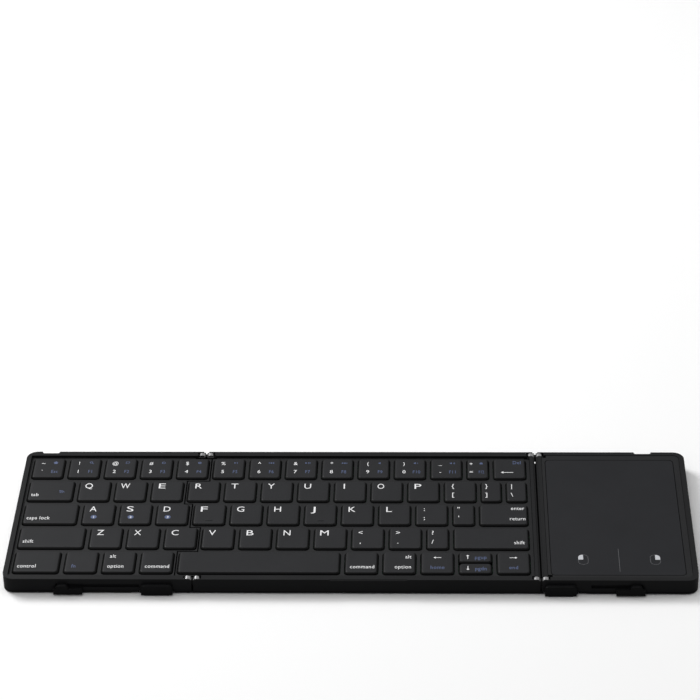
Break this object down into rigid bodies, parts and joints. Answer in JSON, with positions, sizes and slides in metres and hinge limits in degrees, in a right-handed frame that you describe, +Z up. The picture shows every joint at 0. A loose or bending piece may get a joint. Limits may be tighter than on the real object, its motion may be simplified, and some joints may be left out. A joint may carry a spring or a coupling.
{
  "type": "folding keyboard",
  "caption": "Three-panel folding keyboard with a touchpad wing, double-axis hinges and a fabric cover that slides as the wings fold.",
  "frame": {"origin": "centre of the underside with both wings open", "axes": "+X along the length towards the touchpad, +Y towards the back row of keys, +Z up"},
  "size_m": [0.3046, 0.1018, 0.0075],
  "materials": {
    "shell": "satin",
    "deck": "satin",
    "board": "satin",
    "plate": "satin",
    "fabric": "woven",
    "chrome": "polished",
    "steel": "satin",
    "keycap": "satin",
    "pad": "satin",
    "battery": "matte",
    "switch": "satin"
  },
  "bodies": {
    "base": {"base_housing": "shell", "base_deck": "deck", "base_switch_board": "board", "base_cover_plate": "plate", "base_fabric": "fabric", "base_hinge_pins": "steel"},
    "left_link": {"left_hinge_links": "chrome"},
    "left_wing": {"left_housing": "shell", "left_deck": "deck", "left_switch_board": "board", "left_hinge_pins": "steel"},
    "left_cover": {"left_cover_plate": "plate", "left_cover_fabric": "fabric"},
    "left_spine_flap": {"left_spine": "plate", "left_spine_fabric": "fabric"},
    "right_link": {"right_hinge_links": "chrome"},
    "right_wing": {"right_housing": "shell", "right_deck": "deck", "controller_board": "board", "battery": "battery", "charging_port": "steel", "right_hinge_pins": "steel"},
    "right_cover": {"right_cover_plate": "plate", "right_cover_fabric": "fabric"},
    "right_spine_flap": {"right_spine": "plate", "right_spine_fabric": "fabric"},
    "touchpad_plate": {"touchpad": "pad"},
    "switch_thumb": {"power_switch": "switch"},
    "space_bar_body": {"space_bar": "keycap"},
    "base_keys_row1_body": {"base_keys_row1": "keycap"},
    "base_keys_row2_body": {"base_keys_row2": "keycap"},
    "base_keys_row3_body": {"base_keys_row3": "keycap"},
    "base_keys_row4_body": {"base_keys_row4": "keycap"},
    "base_keys_row5_body": {"base_keys_row5": "keycap"},
    "delete_key_body": {"delete_key": "keycap"},
    "enter_key_body": {"enter_key": "keycap"},
    "right_shift_key_body": {"right_shift_key": "keycap"},
    "page_up_key_body": {"page_up_key": "keycap"},
    "page_down_key_body": {"page_down_key": "keycap"},
    "left_keys_row1_body": {"left_keys_row1": "keycap"},
    "left_keys_row2_body": {"left_keys_row2": "keycap"},
    "left_keys_row3_body": {"left_keys_row3": "keycap"},
    "left_keys_row4_body": {"left_keys_row4": "keycap"},
    "left_keys_row5_body": {"left_keys_row5": "keycap"},
    "tab_key_body": {"tab_key": "keycap"},
    "caps_key_body": {"caps_key": "keycap"},
    "left_shift_key_body": {"left_shift_key": "keycap"},
    "control_key_body": {"control_key": "keycap"}
  },
  "joints": [
    {"name": "left_link_fold", "type": "hinge", "parent": "base", "child": "left_link", "pos_m": [-0.06675, 0, 0.0057], "axis": [0, 1, 0], "range_deg": [0, 90]},
    {"name": "left_fold", "type": "hinge", "parent": "left_link", "child": "left_wing", "pos_m": [-0.07075, 0, 0.0057], "axis": [0, 1, 0], "range_deg": [0, 90]},
    {"name": "left_cover_slide", "type": "slide", "parent": "left_wing", "child": "left_cover", "axis": [1, 0, 0], "range_m": [0, 0.0312]},
    {"name": "left_spine_fold", "type": "hinge", "parent": "base", "child": "left_spine_flap", "pos_m": [-0.07725, 0, 0.0006], "axis": [0, 1, 0], "range_deg": [0, 90.1]},
    {"name": "right_link_fold", "type": "hinge", "parent": "base", "child": "right_link", "pos_m": [0.08165, 0, 0.0057], "axis": [0, -1, 0], "range_deg": [0, 90]},
    {"name": "right_fold", "type": "hinge", "parent": "right_link", "child": "right_wing", "pos_m": [0.08565, 0, 0.0057], "axis": [0, -1, 0], "range_deg": [0, 90]},
    {"name": "right_cover_slide", "type": "slide", "parent": "right_wing", "child": "right_cover", "axis": [-1, 0, 0], "range_m": [0, 0.017]},
    {"name": "right_spine_fold", "type": "hinge", "parent": "base", "child": "right_spine_flap", "pos_m": [0.08505, 0, 0.0006], "axis": [0, -1, 0], "range_deg": [0, 90.1]},
    {"name": "touchpad_press", "type": "hinge", "parent": "right_wing", "child": "touchpad_plate", "pos_m": [0.11725, 0.0407, 0.0061], "axis": [1, 0, 0], "range_deg": [0, 0.3], "stiffness_Nm_per_rad": 30, "springref_deg": -1.15},
    {"name": "power_slide", "type": "slide", "parent": "left_wing", "child": "switch_thumb", "axis": [1, 0, 0], "range_m": [0, 0.0018]},
    {"name": "space_bar_press", "type": "slide", "parent": "base", "child": "space_bar_body", "axis": [0, 0, 1], "range_m": [-0.0012, 0], "stiffness_N_per_m": 300, "springref_m": 0.001},
    {"name": "base_row1_press", "type": "slide", "parent": "base", "child": "base_keys_row1_body", "axis": [0, 0, 1], "range_m": [-0.0012, 0], "stiffness_N_per_m": 300, "springref_m": 0.001},
    {"name": "base_row2_press", "type": "slide", "parent": "base", "child": "base_keys_row2_body", "axis": [0, 0, 1], "range_m": [-0.0012, 0], "stiffness_N_per_m": 300, "springref_m": 0.001},
    {"name": "base_row3_press", "type": "slide", "parent": "base", "child": "base_keys_row3_body", "axis": [0, 0, 1], "range_m": [-0.0012, 0], "stiffness_N_per_m": 300, "springref_m": 0.001},
    {"name": "base_row4_press", "type": "slide", "parent": "base", "child": "base_keys_row4_body", "axis": [0, 0, 1], "range_m": [-0.0012, 0], "stiffness_N_per_m": 300, "springref_m": 0.001},
    {"name": "base_row5_press", "type": "slide", "parent": "base", "child": "base_keys_row5_body", "axis": [0, 0, 1], "range_m": [-0.0012, 0], "stiffness_N_per_m": 300, "springref_m": 0.001},
    {"name": "delete_key_press", "type": "slide", "parent": "base", "child": "delete_key_body", "axis": [0, 0, 1], "range_m": [-0.0012, 0], "stiffness_N_per_m": 300, "springref_m": 0.001},
    {"name": "enter_key_press", "type": "slide", "parent": "base", "child": "enter_key_body", "axis": [0, 0, 1], "range_m": [-0.0012, 0], "stiffness_N_per_m": 300, "springref_m": 0.001},
    {"name": "right_shift_key_press", "type": "slide", "parent": "base", "child": "right_shift_key_body", "axis": [0, 0, 1], "range_m": [-0.0012, 0], "stiffness_N_per_m": 300, "springref_m": 0.001},
    {"name": "page_up_key_press", "type": "slide", "parent": "base", "child": "page_up_key_body", "axis": [0, 0, 1], "range_m": [-0.0012, 0], "stiffness_N_per_m": 300, "springref_m": 0.001},
    {"name": "page_down_key_press", "type": "slide", "parent": "base", "child": "page_down_key_body", "axis": [0, 0, 1], "range_m": [-0.0012, 0], "stiffness_N_per_m": 300, "springref_m": 0.001},
    {"name": "left_row1_press", "type": "slide", "parent": "left_wing", "child": "left_keys_row1_body", "axis": [0, 0, 1], "range_m": [-0.0012, 0], "stiffness_N_per_m": 300, "springref_m": 0.001},
    {"name": "left_row2_press", "type": "slide", "parent": "left_wing", "child": "left_keys_row2_body", "axis": [0, 0, 1], "range_m": [-0.0012, 0], "stiffness_N_per_m": 300, "springref_m": 0.001},
    {"name": "left_row3_press", "type": "slide", "parent": "left_wing", "child": "left_keys_row3_body", "axis": [0, 0, 1], "range_m": [-0.0012, 0], "stiffness_N_per_m": 300, "springref_m": 0.001},
    {"name": "left_row4_press", "type": "slide", "parent": "left_wing", "child": "left_keys_row4_body", "axis": [0, 0, 1], "range_m": [-0.0012, 0], "stiffness_N_per_m": 300, "springref_m": 0.001},
    {"name": "left_row5_press", "type": "slide", "parent": "left_wing", "child": "left_keys_row5_body", "axis": [0, 0, 1], "range_m": [-0.0012, 0], "stiffness_N_per_m": 300, "springref_m": 0.001},
    {"name": "tab_key_press", "type": "slide", "parent": "left_wing", "child": "tab_key_body", "axis": [0, 0, 1], "range_m": [-0.0012, 0], "stiffness_N_per_m": 300, "springref_m": 0.001},
    {"name": "caps_key_press", "type": "slide", "parent": "left_wing", "child": "caps_key_body", "axis": [0, 0, 1], "range_m": [-0.0012, 0], "stiffness_N_per_m": 300, "springref_m": 0.001},
    {"name": "left_shift_key_press", "type": "slide", "parent": "left_wing", "child": "left_shift_key_body", "axis": [0, 0, 1], "range_m": [-0.0012, 0], "stiffness_N_per_m": 300, "springref_m": 0.001},
    {"name": "control_key_press", "type": "slide", "parent": "left_wing", "child": "control_key_body", "axis": [0, 0, 1], "range_m": [-0.0012, 0], "stiffness_N_per_m": 300, "springref_m": 0.001}
  ],
  "couplings": [
    {"joint": "left_link_fold", "follows": "left_cover_slide", "rad_per_m": 50.346},
    {"joint": "left_fold", "follows": "left_cover_slide", "rad_per_m": 50.346},
    {"joint": "left_spine_fold", "follows": "left_cover_slide", "rad_per_m": 50.346},
    {"joint": "right_link_fold", "follows": "right_cover_slide", "rad_per_m": 92.399},
    {"joint": "right_fold", "follows": "right_cover_slide", "rad_per_m": 92.399},
    {"joint": "right_spine_fold", "follows": "right_cover_slide", "rad_per_m": 92.399}
  ]
}
